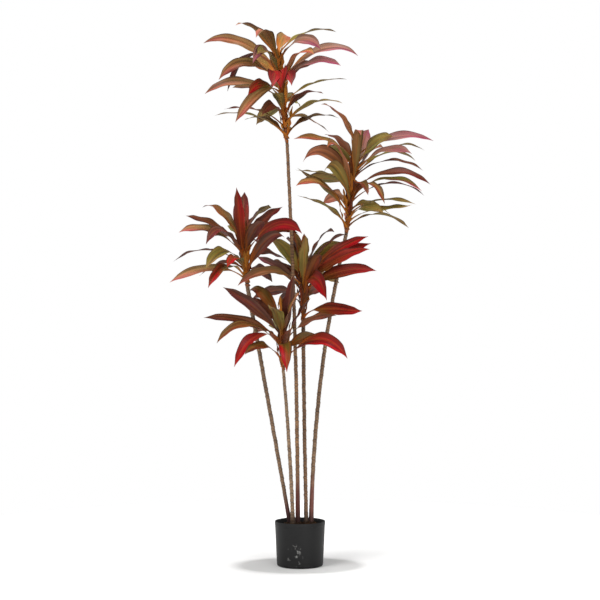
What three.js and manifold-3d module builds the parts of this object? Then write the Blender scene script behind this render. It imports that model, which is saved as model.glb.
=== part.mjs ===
// Potted cordyline: an artificial house plant. Five ringed stems stand in the weighted fill of a plastic
// nursery pot, and each ends in a crown of long leaves on narrow stalks.
// Millimetres, +Z up, origin under the middle of the pot, the front of the plant towards -Y.

import * as THREE from 'three';
import { mergeVertices } from 'three/addons/utils/BufferGeometryUtils.js';
import Module from 'manifold-3d';

// Pot and fill
const POT_HEIGHT = 148;
const FOOT_RADIUS = 70;
const BASE_RADIUS = 76.5;
const RIM_RADIUS = 83;
const RIM_BAND = 13;
const RIM_STEP = 1.6;
const WALL = 2.4;
const FLOOR = 3;
const CORNER = 9;
const POT_SIDES = 40;
const FILL_TOP = 136;
const FILL_CROWN = 4;
const FILL_SLOPE = 12;
const GAP = 0.3;

// Stems
const STEM_SIDES = 10;
const STEM_STEPS = 12;
const FLARE = 0.24;
const FLARE_SHARE = 0.12;

// Leaves: a stalk that follows the crown's stem and then arches over into a folded, pointed blade
const LEAF_REACH = 270;
const STALK_SHARE = 0.2;
const STALK_HALF_WIDTH = 4;
const STALK_THICKNESS = 6;
const BLADE_HALF_WIDTH = 20;
const BLADE_THICKNESS = 3;
const BLADE_FULLNESS = 4.65;
const BLADE_TAPER = 0.3;
const FOLD = 0.22;
const LEAF_STEPS = 6;
const STALK_CLIMB = 0.26;
const STALK_LEAN = 0.14;
const SHOULDER = 0.68;
const TWIST_START = 0.05;
const TWIST_END = 0.45;
const LEAF_CLEARANCE = 3;

// Leaves at the back of a crown, between two limits: height of the root, turn, rise, lift and roll
const BACK_ROOT = [8, 68];
const BACK_TURN = [45, 135];
const BACK_RISE = [0, 30];
const BACK_RISE_PLAY = 8;
const BACK_LIFT = [12, 26];
const BACK_ROLL = [25, 75];
const GOLDEN_STEP = 0.618;

// Crown stem: the stem's own end inside the leaves
const CROWN_STEM_STEPS = 4;
const BUD_RADIUS = 5;

// The leaves that give each crown its outline, five traits a leaf: height of the root as a share of the crown
// stem (%), turn of the tip round the stem (0 right, 90 away, 180 left, -90 to the front), rise of the tip
// (deg), lift of the leaf's shoulder (% of its reach) and roll of the blade's upper face to the front (deg).
const PLANT = [
  {
    name: 'tall',
    crown: 'top',
    foot: [-7, 0],
    tip: [-43, 0, 1394],
    sway: 16,
    radii: [6.6, 5.2],
    run: [-30, 0, 294],
    back: { leaves: 8, seed: 71 },
    leaves: [
      [88, -122, 20, 27, 5], [79, 180, 21, 31, 70], [62, -137, 0, 42, 60], [64, -106, 14, 30, 40],
      [43, -160, 5, 32, 50], [50, -126, -22, 26, 60], [39, -114, 2, 32, 50], [21, -105, 0, 22, 40],
      [14, 145, 19, 14, 0], [5, -151, 13, 18, 10], [52, -83, 0, 36, 5], [24, -97, 12, 16, 0],
      [94, 83, 25, 14, 30], [96, 38, 24, 20, 0], [86, -60, 4, 32, 50], [60, -66, 17, 31, 30],
      [67, -10, 18, 40, 45], [60, -44, 11, 26, 40], [40, 30, 24, 14, 0], [26, -62, 12, 18, 0],
      [16, -46, 13, 20, 8], [5, 46, 19, 18, 10], [73, -108, 2, 42, 40], [73, 133, -4, 70, 0],
      [50, -96, 0, 38, 10], [55, -90, -4, 40, 20], [88, -105, 10, 34, 3], [4, 125, 19, 16, 15],
    ],
  },
  {
    name: 'right',
    crown: 'right',
    foot: [37, 20],
    tip: [157, 140, 1103],
    sway: -52,
    radii: [6.9, 6.2],
    run: [41, 10, 315],
    back: { leaves: 8, seed: 56 },
    leaves: [
      [88, -122, 30, 22, 25], [75, 101, 43, 14, -75], [74, -143, 15, 18, 35], [50, -130, 14, 47, -60],
      [30, -111, 20, 42, -50], [46, 138, 18, 4, 0], [16, -142, 36, 6, 0], [20, -134, 18, 29, 40],
      [3, -132, 23, 8, 10], [62, 73, 41, 14, 30], [66, -62, 21, 18, 85], [80, 0, 13, 23, 45],
      [62, -46, 12, 24, 40], [62, 16, 20, 30, 0], [56, -33, 5, 26, 10], [42, -12, 6, 33, 35],
      [36, -31, 4, 30, 18], [30, 16, 8, 32, 0], [28, -67, -1, 46, 0], [16, -35, 8, 15, 12],
      [8, -38, 13, 0, 25], [10, -66, 5, 14, 40], [3, 35, 3, 25, 0], [52, -85, 32, 46, 0],
      [60, 80, 30, 45, 20], [40, -112, 32, 46, 45], [58, 32, 16, 33, 0], [34, -80, 3, 24, 5],
      [70, 115, 30, 16, 0],
    ],
  },
  {
    name: 'left',
    crown: 'left',
    foot: [-33, 5],
    tip: [-172, -30, 919],
    sway: 1,
    radii: [6.2, 6.8],
    run: [-26, -5, 220],
    back: { leaves: 9, seed: 58 },
    leaves: [
      [36, -100, 62, 6, 10], [36, 103, 54, 14, 30], [64, 127, 29, 26, 4], [54, -135, 23, 8, 45],
      [44, -141, 16, 25, 45], [38, -115, 10, 46, 30], [24, 156, 7, 28, 0], [22, -116, 1, 36, 30],
      [16, -101, 5, 22, 15], [6, -155, 0, 21, 45], [6, -115, -4, 35, 15], [50, 54, 37, 14, 20],
      [60, 67, 31, 18, -50], [40, -73, 25, 14, -30], [40, -43, 17, 40, 60], [14, -58, 27, 32, -50],
      [50, 91, 52, 14, 0],
    ],
  },
  {
    name: 'centre',
    crown: 'centre',
    foot: [21, 6],
    tip: [11, 60, 803],
    sway: -3,
    radii: [6, 6.4],
    run: [0, 5, 250],
    back: { leaves: 9, seed: 108 },
    leaves: [
      [42, -142, 3, 32, 50], [34, 135, 31, 10, 20], [40, 116, 23, 14, -40], [50, 120, 35, 20, 30],
      [50, 100, 44, 10, 20], [40, -88, 42, 12, 30], [58, 60, 37, 31, -40], [54, 47, 37, 20, -40],
      [50, -9, 36, 14, 55], [46, 0, 33, 12, 55], [42, -21, 30, 16, 60], [34, -21, 18, 19, 75],
      [30, -75, 31, 22, -40], [38, -74, -5, 36, 60], [2, -45, 7, 2, 75],
    ],
  },
  {
    name: 'front',
    crown: 'front',
    foot: [-23, -22],
    tip: [-54, -100, 649],
    sway: 7,
    radii: [6.4, 5],
    run: [-3, -30, 195],
    back: { leaves: 9, seed: 92 },
    leaves: [
      [50, -154, 39, 10, -55], [66, 121, 26, 36, 30], [40, -76, 58, 6, 15], [42, -177, 19, 14, 50],
      [30, -140, 7, 46, 30], [34, -124, -10, 44, 10], [6, -116, 10, 24, 40], [10, -87, -3, 48, 10],
      [44, -99, 25, 22, 20], [50, -76, 34, 14, 70], [30, -65, 40, 8, 60], [16, -83, 23, 16, 40],
      [8, -41, 6, 45, 50],
    ],
  },
];

const COLOURS = {
  pot: 0x2b2b2c,
  fill: 0x4a3524,
  stem: 0x7d6a55,
  leaf: 0x7a3a2a,
};

const UP = new THREE.Vector3(0, 0, 1);

const wasm = await Module();
wasm.setup();

function merged(geometry) {
  geometry.deleteAttribute('normal');
  geometry.deleteAttribute('uv');
  return mergeVertices(geometry);
}

function toSolid(geometry) {
  const closed = merged(geometry);
  const vertProperties = new Float32Array(closed.attributes.position.array);
  const triVerts = new Uint32Array(closed.index.array);
  return new wasm.Manifold(new wasm.Mesh({ numProp: 3, vertProperties, triVerts }));
}

// The outer skin alone, with hollows that crossing leaves seal filled in.
function largestBody(solid) {
  return solid.decompose().reduce((large, other) => (other.volume() > large.volume() ? other : large));
}

function toGeometry(solid) {
  const { vertProperties, triVerts } = solid.getMesh();
  const geometry = new THREE.BufferGeometry();
  geometry.setAttribute('position', new THREE.BufferAttribute(vertProperties, 3));
  geometry.setIndex(new THREE.BufferAttribute(triVerts, 1));
  geometry.computeVertexNormals();
  return geometry;
}

function piece(name, geometry, color, roughness) {
  const mesh = new THREE.Mesh(geometry, new THREE.MeshStandardMaterial({ color, roughness, metalness: 0 }));
  mesh.name = name;
  return mesh;
}

// Turned pieces: the outline lies in the plane of the axis and is spun round +Z.
function turned(outline, sides) {
  const geometry = new THREE.LatheGeometry(outline.getPoints(4), sides);
  geometry.rotateX(Math.PI / 2);
  return merged(geometry);
}

function potOutline() {
  const outline = new THREE.Path();
  const bandFoot = POT_HEIGHT - RIM_BAND;
  outline.moveTo(0, 0);
  outline.lineTo(FOOT_RADIUS, 0);
  outline.quadraticCurveTo(BASE_RADIUS, 0, BASE_RADIUS, CORNER);
  outline.lineTo(RIM_RADIUS - RIM_STEP, bandFoot);
  outline.lineTo(RIM_RADIUS, bandFoot + RIM_STEP);
  outline.lineTo(RIM_RADIUS, POT_HEIGHT);
  outline.lineTo(RIM_RADIUS - WALL, POT_HEIGHT);
  outline.lineTo(RIM_RADIUS - RIM_STEP - WALL, bandFoot);
  outline.lineTo(BASE_RADIUS - WALL, CORNER);
  outline.lineTo(FOOT_RADIUS - WALL, FLOOR);
  outline.lineTo(0, FLOOR);
  return outline;
}

// The fill follows the pot's inside, 0.3 mm clear of it, and is level where the stems stand on it.
function fillOutline() {
  const outline = new THREE.Path();
  const inset = WALL + GAP;
  const wallShare = (FILL_TOP - FILL_CROWN - CORNER) / (POT_HEIGHT - RIM_BAND - CORNER);
  const topRadius = THREE.MathUtils.lerp(BASE_RADIUS, RIM_RADIUS - RIM_STEP, wallShare) - inset;
  outline.moveTo(0, FLOOR + GAP);
  outline.lineTo(FOOT_RADIUS - inset, FLOOR + GAP);
  outline.lineTo(BASE_RADIUS - inset, CORNER + GAP);
  outline.lineTo(topRadius, FILL_TOP - FILL_CROWN);
  outline.lineTo(topRadius - FILL_SLOPE, FILL_TOP);
  outline.lineTo(0, FILL_TOP);
  return outline;
}

// A rod of level rings along a curve: flat at its foot, and flat or pointed at its tip.
function rod(shape, curve, radiusAt) {
  const position = shape.attributes.position;
  const spot = new THREE.Vector3();
  for (let i = 0; i < position.count; i += 1) {
    spot.fromBufferAttribute(position, i);
    const share = spot.y + 0.5;
    const across = spot.x * radiusAt(share);
    const along = -spot.z * radiusAt(share);
    spot.copy(curve.getPointAt(share));
    position.setXYZ(i, spot.x + across, spot.y + along, spot.z);
  }
  return merged(shape);
}

function stemGeometry({ foot, tip, sway, radii }) {
  const start = new THREE.Vector3(...foot, FILL_TOP + GAP);
  const end = new THREE.Vector3(...tip);
  const middle = start.clone().lerp(end, 0.5);
  middle.x += sway;
  const curve = new THREE.QuadraticBezierCurve3(start, middle, end);
  const shape = new THREE.CylinderGeometry(1, 1, 1, STEM_SIDES, STEM_STEPS);
  const radiusAt = (share) => {
    const flare = 1 + FLARE * Math.max(0, 1 - share / FLARE_SHARE);
    return flare * THREE.MathUtils.lerp(radii[0], radii[1], share);
  };
  return rod(shape, curve, radiusAt);
}

function crownStemGeometry({ tip, run, radii }) {
  const start = new THREE.Vector3(...tip);
  const end = start.clone().add(new THREE.Vector3(...run));
  start.z += GAP;
  const shape = new THREE.CylinderGeometry(1, 1, 1, STEM_SIDES, CROWN_STEM_STEPS);
  const radiusAt = (share) => THREE.MathUtils.lerp(radii[1], BUD_RADIUS, share);
  return rod(shape, new THREE.LineCurve3(start, end), radiusAt);
}

// The leaf's midline: up along the crown stem, over a shoulder, and out to the tip.
function midline({ tip, run }, [at, turn, rise, lift]) {
  const axis = new THREE.Vector3(...run);
  const root = new THREE.Vector3(...tip).addScaledVector(axis, at / 100);
  const turnAngle = THREE.MathUtils.degToRad(turn);
  const riseAngle = THREE.MathUtils.degToRad(rise);
  const heading = new THREE.Vector3(Math.cos(turnAngle), Math.sin(turnAngle), 0);
  const span = heading.clone().multiplyScalar(Math.cos(riseAngle)).addScaledVector(UP, Math.sin(riseAngle));
  const climb = root.clone().addScaledVector(axis.normalize(), STALK_CLIMB * LEAF_REACH);
  climb.addScaledVector(heading, STALK_LEAN * LEAF_REACH);
  const shoulder = root.clone().addScaledVector(span, SHOULDER * LEAF_REACH);
  shoulder.addScaledVector(UP, (lift / 100) * LEAF_REACH);
  const point = root.clone().addScaledVector(span, LEAF_REACH);
  return { heading, curve: new THREE.CubicBezierCurve3(root, climb, shoulder, point) };
}

function bladeShare(share) {
  const u = Math.max(0, (share - STALK_SHARE) / (1 - STALK_SHARE));
  return BLADE_FULLNESS * u * (1 - u) * (1 - BLADE_TAPER * u);
}

// One leaf: a four-sided cone whose rings follow the midline, wide in the blade and folded along its rib.
function leafSolid(stem, leaf, clearance) {
  const { heading, curve } = midline(stem, leaf);
  const side = heading.clone().cross(UP);
  const hand = side.y < 0 ? -1 : 1;
  const roll = THREE.MathUtils.degToRad(hand * leaf[4]);
  const shape = new THREE.ConeGeometry(1, 1, 4, LEAF_STEPS);
  const position = shape.attributes.position;
  const spot = new THREE.Vector3();
  for (let i = 0; i < position.count; i += 1) {
    spot.fromBufferAttribute(position, i);
    const share = spot.y + 0.5;
    const ring = Math.max(1 - share, 1e-6);
    const across = spot.x / ring;
    const through = spot.z / ring;
    const tangent = curve.getTangentAt(share);
    const width = side.clone().addScaledVector(tangent, -side.dot(tangent)).normalize();
    const upper = width.clone().cross(tangent);
    const twist = roll * THREE.MathUtils.smoothstep(share, TWIST_START, TWIST_END);
    const rolledWidth = width.clone().multiplyScalar(Math.cos(twist)).addScaledVector(upper, Math.sin(twist));
    const rolledUpper = upper.multiplyScalar(Math.cos(twist)).addScaledVector(width, -Math.sin(twist));
    const bulge = bladeShare(share);
    const thickness = THREE.MathUtils.lerp(STALK_THICKNESS, BLADE_THICKNESS, Math.min(1, 2 * bulge));
    const halfWidth = THREE.MathUtils.lerp(STALK_HALF_WIDTH, BLADE_HALF_WIDTH, bulge) + clearance;
    const raised = Math.abs(across) * halfWidth * FOLD * bulge;
    spot.copy(curve.getPointAt(share)).addScaledVector(rolledWidth, across * halfWidth);
    spot.addScaledVector(rolledUpper, through * (thickness / 2 + clearance) + raised);
    position.setXYZ(i, spot.x, spot.y, spot.z);
  }
  return toSolid(shape);
}

// A repeatable number from 0 to 1.
function chance(seed) {
  const wave = Math.sin(seed * 12.9898) * 43758.5453;
  return wave - Math.floor(wave);
}

// The leaves behind, dealt evenly up the crown stem and round its back by a seeded rule.
function backLeaves({ leaves, seed }) {
  const rows = [];
  for (let k = 0; k < leaves; k += 1) {
    const share = (k + 0.5) / leaves;
    const at = THREE.MathUtils.lerp(...BACK_ROOT, share);
    const turn = THREE.MathUtils.lerp(...BACK_TURN, (k * GOLDEN_STEP + chance(seed)) % 1);
    const play = BACK_RISE_PLAY * (2 * chance(seed + k) - 1);
    const rise = THREE.MathUtils.lerp(...BACK_RISE, share) + play;
    const lift = THREE.MathUtils.lerp(...BACK_LIFT, chance(seed + 2 * k));
    const roll = THREE.MathUtils.lerp(...BACK_ROLL, chance(seed + 3 * k));
    rows.push([at, turn, rise, lift, k % 2 ? roll : -roll]);
  }
  return rows;
}

const stems = PLANT.map((stem) => piece(`stem_${stem.name}`, stemGeometry(stem), COLOURS.stem, 0.75));
const taken = stems.map((mesh) => toSolid(mesh.geometry.clone()));

// Each crown is its stem and its leaves in one solid. A leaf that would touch another limb is left out.
const crowns = PLANT.map((stem) => {
  let solid = toSolid(crownStemGeometry(stem));
  for (const leaf of [...stem.leaves, ...backLeaves(stem.back)]) {
    const room = leafSolid(stem, leaf, LEAF_CLEARANCE);
    if (taken.every((other) => room.intersect(other).isEmpty())) {
      solid = solid.add(leafSolid(stem, leaf, 0));
    }
  }
  const body = largestBody(solid);
  taken.push(body);
  return piece(`crown_${stem.crown}`, toGeometry(body), COLOURS.leaf, 0.5);
});

const plant = new THREE.Group();
plant.add(piece('pot', turned(potOutline(), POT_SIDES), COLOURS.pot, 0.6));
plant.add(piece('potting_fill', turned(fillOutline(), POT_SIDES), COLOURS.fill, 0.95));
plant.add(...stems, ...crowns);

export default plant;
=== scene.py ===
# Potted cordyline: the finished look of an artificial house plant, grown on the frame of its solids.
# Metres, +Z up, origin under the middle of the pot, the front of the plant towards -Y.

import math

import bmesh
import bpy
import numpy as np
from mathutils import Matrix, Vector, noise
from mathutils.bvhtree import BVHTree


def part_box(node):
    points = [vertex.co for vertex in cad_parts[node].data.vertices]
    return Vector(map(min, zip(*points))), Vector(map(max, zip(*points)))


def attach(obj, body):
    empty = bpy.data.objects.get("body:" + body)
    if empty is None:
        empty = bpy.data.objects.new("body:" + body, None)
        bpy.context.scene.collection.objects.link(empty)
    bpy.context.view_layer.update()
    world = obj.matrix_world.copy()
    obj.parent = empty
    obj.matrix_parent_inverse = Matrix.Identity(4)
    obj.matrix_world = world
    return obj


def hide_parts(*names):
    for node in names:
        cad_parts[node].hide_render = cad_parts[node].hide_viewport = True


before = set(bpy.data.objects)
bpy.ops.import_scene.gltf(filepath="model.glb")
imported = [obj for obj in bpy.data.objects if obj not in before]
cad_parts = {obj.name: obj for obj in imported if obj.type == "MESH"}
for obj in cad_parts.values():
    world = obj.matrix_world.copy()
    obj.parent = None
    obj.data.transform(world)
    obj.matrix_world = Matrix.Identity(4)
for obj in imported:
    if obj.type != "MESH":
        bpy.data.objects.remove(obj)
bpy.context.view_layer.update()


# Pot
# A nursery pot, injection moulded in black polypropylene: a slightly tapered bucket with a low band that
# stiffens its rim, a rounded foot and drain slots in the corner of the foot. It stands loose on the floor.
MM = 0.001
pot_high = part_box("pot")[1]
RIM_RADIUS = pot_high.x
RIM_HEIGHT = pot_high.z
FOOT_RADIUS = 70 * MM
BASE_RADIUS = 76.5 * MM
CORNER = 9 * MM
RIM_BAND = 13 * MM
RIM_STEP = 0.7 * MM
WALL = 2.4 * MM
POT_FLOOR = 3 * MM
POT_STEPS = 120
ARC_STEPS = 6
DRAIN_SLOTS = 10
DRAIN_SHARE = 0.28
DRAIN_INSET = 0.5 * MM
DRAIN_DEPTH = 1.6 * MM
SHARP_ANGLE = math.radians(35)
# The middle of a patch of pale flecks low on the front of the pot, and how far out they are thick and end
PALE_PATCH = (-18 * MM, -76 * MM, 36 * MM)
PALE_PATCH_CORE = 12 * MM
PALE_PATCH_REACH = 32 * MM


def arc(middle, across, up, start, end):
    """Points of an elliptical arc about a middle, between two angles in degrees."""
    angles = [math.radians(start + (end - start) * i / ARC_STEPS) for i in range(ARC_STEPS + 1)]
    return [(middle[0] + across * math.cos(angle), middle[1] + up * math.sin(angle)) for angle in angles]


def turned(outline, steps):
    """A closed shape spun round +Z from (radius, height) points that start and end on the axis."""
    bm = bmesh.new()
    verts = [bm.verts.new((radius, 0, height)) for radius, height in outline]
    edges = [bm.edges.new(pair) for pair in zip(verts, verts[1:])]
    bmesh.ops.spin(bm, geom=verts + edges, cent=(0, 0, 0), axis=(0, 0, 1), angle=math.tau, steps=steps,
                   use_merge=True)
    bmesh.ops.remove_doubles(bm, verts=bm.verts, dist=0.01 * MM)
    bmesh.ops.recalc_face_normals(bm, faces=bm.faces)
    return bm


def linear(hex_colour):
    """An sRGB hex colour as linear RGBA."""
    channels = [int(hex_colour[i:i + 2], 16) / 255 for i in (1, 3, 5)]
    return [c / 12.92 if c <= 0.04045 else ((c + 0.055) / 1.055) ** 2.4 for c in channels] + [1.0]


def add(tree, kind, inputs=None, stops=None, **settings):
    """One node with its settings. An input is a value, or the output socket that feeds it."""
    node = tree.nodes.new(kind)
    for name, value in settings.items():
        setattr(node, name, value)
    for name, value in (inputs or {}).items():
        if isinstance(value, bpy.types.NodeSocket):
            tree.links.new(value, node.inputs[name])
        else:
            node.inputs[name].default_value = value
    for i, (place, colour) in enumerate(stops or []):
        elements = node.color_ramp.elements
        element = elements[i] if i < len(elements) else elements.new(place)
        element.position = place
        element.color = linear(colour)
    return node


def new_material(name):
    """An empty material: its node tree, and its surface shader to fill in."""
    material = bpy.data.materials.new(name)
    material.use_nodes = True
    return material, material.node_tree, material.node_tree.nodes["Principled BSDF"]


def add_piece(name, mesh, materials):
    """A smooth-shaded piece of the plant, in place, that moves with it."""
    for material in materials:
        mesh.materials.append(material)
    mesh.shade_smooth()
    piece = bpy.data.objects.new(name, mesh)
    bpy.context.scene.collection.objects.link(piece)
    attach(piece, "root")
    return piece


def bmesh_piece(name, bm, materials):
    mesh = bpy.data.meshes.new(name)
    bm.to_mesh(mesh)
    bm.free()
    return add_piece(name, mesh, materials)


def moulded_polypropylene():
    """Matte moulded polypropylene: near black, with a fine spark-eroded grain and pale flecks low on the
    front.
    """
    material, tree, shader = new_material("Moulded polypropylene")
    place = add(tree, "ShaderNodeTexCoord").outputs["Object"]
    # The real grain is ten times finer and wouldn't show
    grain_mm, scuff_mm, fleck_mm = 1.6, 14, 12
    grain = add(tree, "ShaderNodeTexNoise", {"Vector": place, "Scale": 1000 / grain_mm, "Detail": 2})
    scuff = add(tree, "ShaderNodeTexNoise", {"Vector": place, "Scale": 1000 / scuff_mm, "Detail": 8,
                                             "Roughness": 0.72})
    fleck = add(tree, "ShaderNodeTexNoise", {"Vector": place, "Scale": 1000 / fleck_mm, "Detail": 6,
                                             "Roughness": 0.6})
    from_pale_patch = add(tree, "ShaderNodeMapping", {"Vector": place, "Location": PALE_PATCH, "Scale": (1, 1, 2)},
                     vector_type="TEXTURE")
    distance = add(tree, "ShaderNodeVectorMath", {0: from_pale_patch.outputs["Vector"]}, operation="LENGTH")
    near = add(tree, "ShaderNodeMapRange", {"Value": distance.outputs["Value"], "From Min": PALE_PATCH_REACH,
                                            "From Max": PALE_PATCH_CORE})
    # Pale flecks, only in the patch low on the front of the pot
    flecked = add(tree, "ShaderNodeMapRange", {"Value": fleck.outputs["Fac"], "From Min": 0.59,
                                            "From Max": 0.69})
    pale = add(tree, "ShaderNodeMath", {0: flecked.outputs["Result"], 1: near.outputs["Result"]},
               operation="MULTIPLY")
    body = add(tree, "ShaderNodeValToRGB", {"Fac": scuff.outputs["Fac"]},
               stops=[(0.3, "#0b0b0c"), (0.7, "#121212")])
    colour = add(tree, "ShaderNodeMixRGB", {"Fac": pale.outputs[0], "Color1": body.outputs["Color"],
                                            "Color2": linear("#7c7c7a")})
    gloss = add(tree, "ShaderNodeMapRange", {"Value": scuff.outputs["Fac"], "To Min": 0.42, "To Max": 0.6})
    bump = add(tree, "ShaderNodeBump", {"Height": grain.outputs["Fac"], "Strength": 0.25,
                                        "Distance": 0.2 * MM})
    tree.links.new(colour.outputs["Color"], shader.inputs["Base Color"])
    tree.links.new(gloss.outputs["Result"], shader.inputs["Roughness"])
    tree.links.new(bump.outputs["Normal"], shader.inputs["Normal"])
    shader.inputs["Specular IOR Level"].default_value = 0.24
    return material


band_foot = RIM_HEIGHT - RIM_BAND
pot_shape = turned(
    [(0, 0)] + arc((FOOT_RADIUS, CORNER), BASE_RADIUS - FOOT_RADIUS, CORNER, -90, 0)
    + [(RIM_RADIUS - RIM_STEP, band_foot - RIM_STEP), (RIM_RADIUS - RIM_STEP, band_foot),
       (RIM_RADIUS, band_foot + RIM_STEP)]
    + arc((RIM_RADIUS - WALL / 2, RIM_HEIGHT - WALL / 2), WALL / 2, WALL / 2, 0, 180)
    + [(BASE_RADIUS - WALL, CORNER), (FOOT_RADIUS - WALL, POT_FLOOR), (0, POT_FLOOR)], POT_STEPS)
slot_angle = math.tau / DRAIN_SLOTS
slot_faces = []
for face in pot_shape.faces:
    middle = face.calc_center_median()
    turn = math.atan2(middle.y, middle.x) % slot_angle / slot_angle
    if face.normal.z < -0.25 and middle.z > 0.1 * CORNER and abs(turn - 0.5) < DRAIN_SHARE / 2:
        slot_faces.append(face)
bmesh.ops.inset_region(pot_shape, faces=slot_faces, thickness=DRAIN_INSET)
for vert in {vert for face in slot_faces for vert in face.verts}:
    vert.co.xy *= 1 - DRAIN_DEPTH / vert.co.xy.length
    vert.co.z += DRAIN_DEPTH / 2
for edge in pot_shape.edges:
    edge.smooth = edge.calc_face_angle(0) < SHARP_ANGLE
pot = bmesh_piece("nursery_pot", pot_shape, [moulded_polypropylene()])
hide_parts("pot")


# Stems, sizes
# Five moulded stems of different heights stand in the fill and lean apart. Each is set out by the middle of
# its foot, its tip, the sway of its middle to one side and its radius at foot and tip, in millimetres.
# "run" is the part of the stem that goes on inside its crown of leaves.
STEMS = {
    "tall": {"crown": "top", "foot": (-7, 0), "tip": (-43, 0, 1394), "sway": 16, "radii": (6.6, 5.2),
             "run": (-30, 0, 294)},
    "right": {"crown": "right", "foot": (37, 20), "tip": (157, 140, 1103), "sway": -52, "radii": (6.9, 6.2),
              "run": (41, 10, 315)},
    "left": {"crown": "left", "foot": (-33, 5), "tip": (-172, -30, 919), "sway": 1, "radii": (6.2, 6.8),
             "run": (-26, -5, 220)},
    "centre": {"crown": "centre", "foot": (21, 6), "tip": (11, 60, 803), "sway": -3, "radii": (6, 6.4),
               "run": (0, 5, 250)},
    "front": {"crown": "front", "foot": (-23, -22), "tip": (-54, -100, 649), "sway": 7, "radii": (6.4, 5),
              "run": (-3, -30, 195)},
}


# Potting fill
# A cement weight cast in the pot holds the stems. It is hidden under a lumpy mat of brown coir, heaped round
# their feet, that stops short of the rim.
FILL_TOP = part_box("potting_fill")[1].z
FILL_GAP = 0.3 * MM
FILL_EDGE = FILL_TOP - 5 * MM
HEAP_HEIGHT = 12 * MM
HEAP_WIDTH = 15 * MM
LUMP_MM = 7
LUMP_HEIGHT = 2.6 * MM
FILL_RINGS = 26


def heap(x, y):
    """Height of the coir over a point of the fill: heaped round the stems' feet, lumpy all over."""
    feet = [Vector(stem["foot"]) * MM for stem in STEMS.values()]
    nearest = min((Vector((x, y)) - foot).length for foot in feet)
    heaped = HEAP_HEIGHT * math.exp(-(nearest / HEAP_WIDTH) ** 2)
    lump = noise.noise(Vector((x, y, 0)) * 1000 / LUMP_MM)
    small_lump = noise.noise(Vector((x, y, 1)) * 2500 / LUMP_MM)
    return FILL_EDGE + heaped + LUMP_HEIGHT * (lump + 0.5 * small_lump)


def coir(name, dark, light):
    """Coir: matte brown coconut fibre, darker where it is damp and lighter where it frays."""
    material, tree, shader = new_material(name)
    place = add(tree, "ShaderNodeTexCoord").outputs["Object"]
    # Real fibre is a fifth as wide and wouldn't show
    clump_mm, fibre_mm = 9, 1.4
    clumps = add(tree, "ShaderNodeTexNoise", {"Vector": place, "Scale": 1000 / clump_mm, "Detail": 6,
                                              "Roughness": 0.7})
    fibres = add(tree, "ShaderNodeTexNoise", {"Vector": place, "Scale": 1000 / fibre_mm, "Detail": 3})
    colour = add(tree, "ShaderNodeValToRGB", {"Fac": clumps.outputs["Fac"]},
                 stops=[(0.35, dark), (0.68, light)])
    bump = add(tree, "ShaderNodeBump", {"Height": fibres.outputs["Fac"], "Strength": 0.7,
                                        "Distance": 0.8 * MM})
    tree.links.new(colour.outputs["Color"], shader.inputs["Base Color"])
    tree.links.new(bump.outputs["Normal"], shader.inputs["Normal"])
    shader.inputs["Roughness"].default_value = 0.92
    shader.inputs["Specular IOR Level"].default_value = 0.2
    return material


wall_share = (FILL_EDGE - CORNER) / (band_foot - CORNER)
fill_radius = BASE_RADIUS + (RIM_RADIUS - RIM_STEP - BASE_RADIUS) * wall_share - WALL - FILL_GAP
mat_top = [(fill_radius * (1 - i / FILL_RINGS), FILL_EDGE) for i in range(FILL_RINGS + 1)]
fill_shape = turned([
    (0, POT_FLOOR + FILL_GAP), (FOOT_RADIUS - WALL - FILL_GAP, POT_FLOOR + FILL_GAP),
    (BASE_RADIUS - WALL - FILL_GAP, CORNER + FILL_GAP),
] + mat_top, POT_STEPS)
for vert in fill_shape.verts:
    inside = 1 - vert.co.xy.length / fill_radius
    if vert.co.z > FILL_EDGE - FILL_GAP and inside > 0.01:
        vert.co.z = FILL_EDGE + (heap(vert.co.x, vert.co.y) - FILL_EDGE) * min(1, inside * 6)
fill = bmesh_piece("coir_mat", fill_shape, [coir("Coir mat", "#150d08", "#3c2818")])
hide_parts("potting_fill")


# Coir fibres
# Loose strands of the same fibre, thick enough to show, stand out of the mat, mostly round the feet of the
# stems, in three browns. They are fixed only by the glue on the mat.
FIBRES = 900
FIBRE_RADIUS = 0.45 * MM
FIBRE_POINTS = 6
FIBRE_SIDES = 3
random = np.random.default_rng(7)


def tube_faces(points, sides):
    """Faces of a tube of rings, and of its two ends."""
    faces = []
    for i in range(points - 1):
        for j in range(sides):
            k = (j + 1) % sides
            faces.append((i * sides + j, i * sides + k, (i + 1) * sides + k, (i + 1) * sides + j))
    faces.append(tuple(reversed(range(sides))))
    faces.append(tuple(range((points - 1) * sides, points * sides)))
    return faces


fibre_verts, fibre_faces, fibre_tints = [], [], []
fibre_pattern = tube_faces(FIBRE_POINTS, FIBRE_SIDES)
stem_feet = [Vector(stem["foot"]) * MM for stem in STEMS.values()]
while len(fibre_tints) < FIBRES * len(fibre_pattern):
    foot = stem_feet[random.integers(len(stem_feet))]
    spread = HEAP_WIDTH * 0.8 if random.random() < 0.7 else fill_radius * 0.55
    start = foot + Vector(random.normal(0, spread, 2))
    heading = random.uniform(0, math.tau)
    length = random.uniform(14, 34) * MM
    rise = random.uniform(0.5, 6) * MM
    bend = random.uniform(-1.2, 1.2)
    spine = []
    for t in np.linspace(0, 1, FIBRE_POINTS):
        angle = heading + bend * t
        reach = length * t
        spine.append(Vector((start.x + math.cos(angle) * reach, start.y + math.sin(angle) * reach, t)))
    if max(point.xy.length for point in spine) > fill_radius - 3 * MM:
        continue
    first = len(fibre_verts)
    for point in spine:
        lift = heap(point.x, point.y) + rise * math.sin(math.pi * point.z * 0.85)
        for side in range(FIBRE_SIDES):
            angle = math.tau * side / FIBRE_SIDES
            across = Vector((-math.sin(heading), math.cos(heading), 0)) * math.cos(angle)
            fibre_verts.append(Vector((point.x, point.y, lift))
                               + FIBRE_RADIUS * (across + Vector((0, 0, math.sin(angle)))))
    fibre_faces += [tuple(first + i for i in face) for face in fibre_pattern]
    fibre_tints += [int(random.integers(3))] * len(fibre_pattern)
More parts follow.
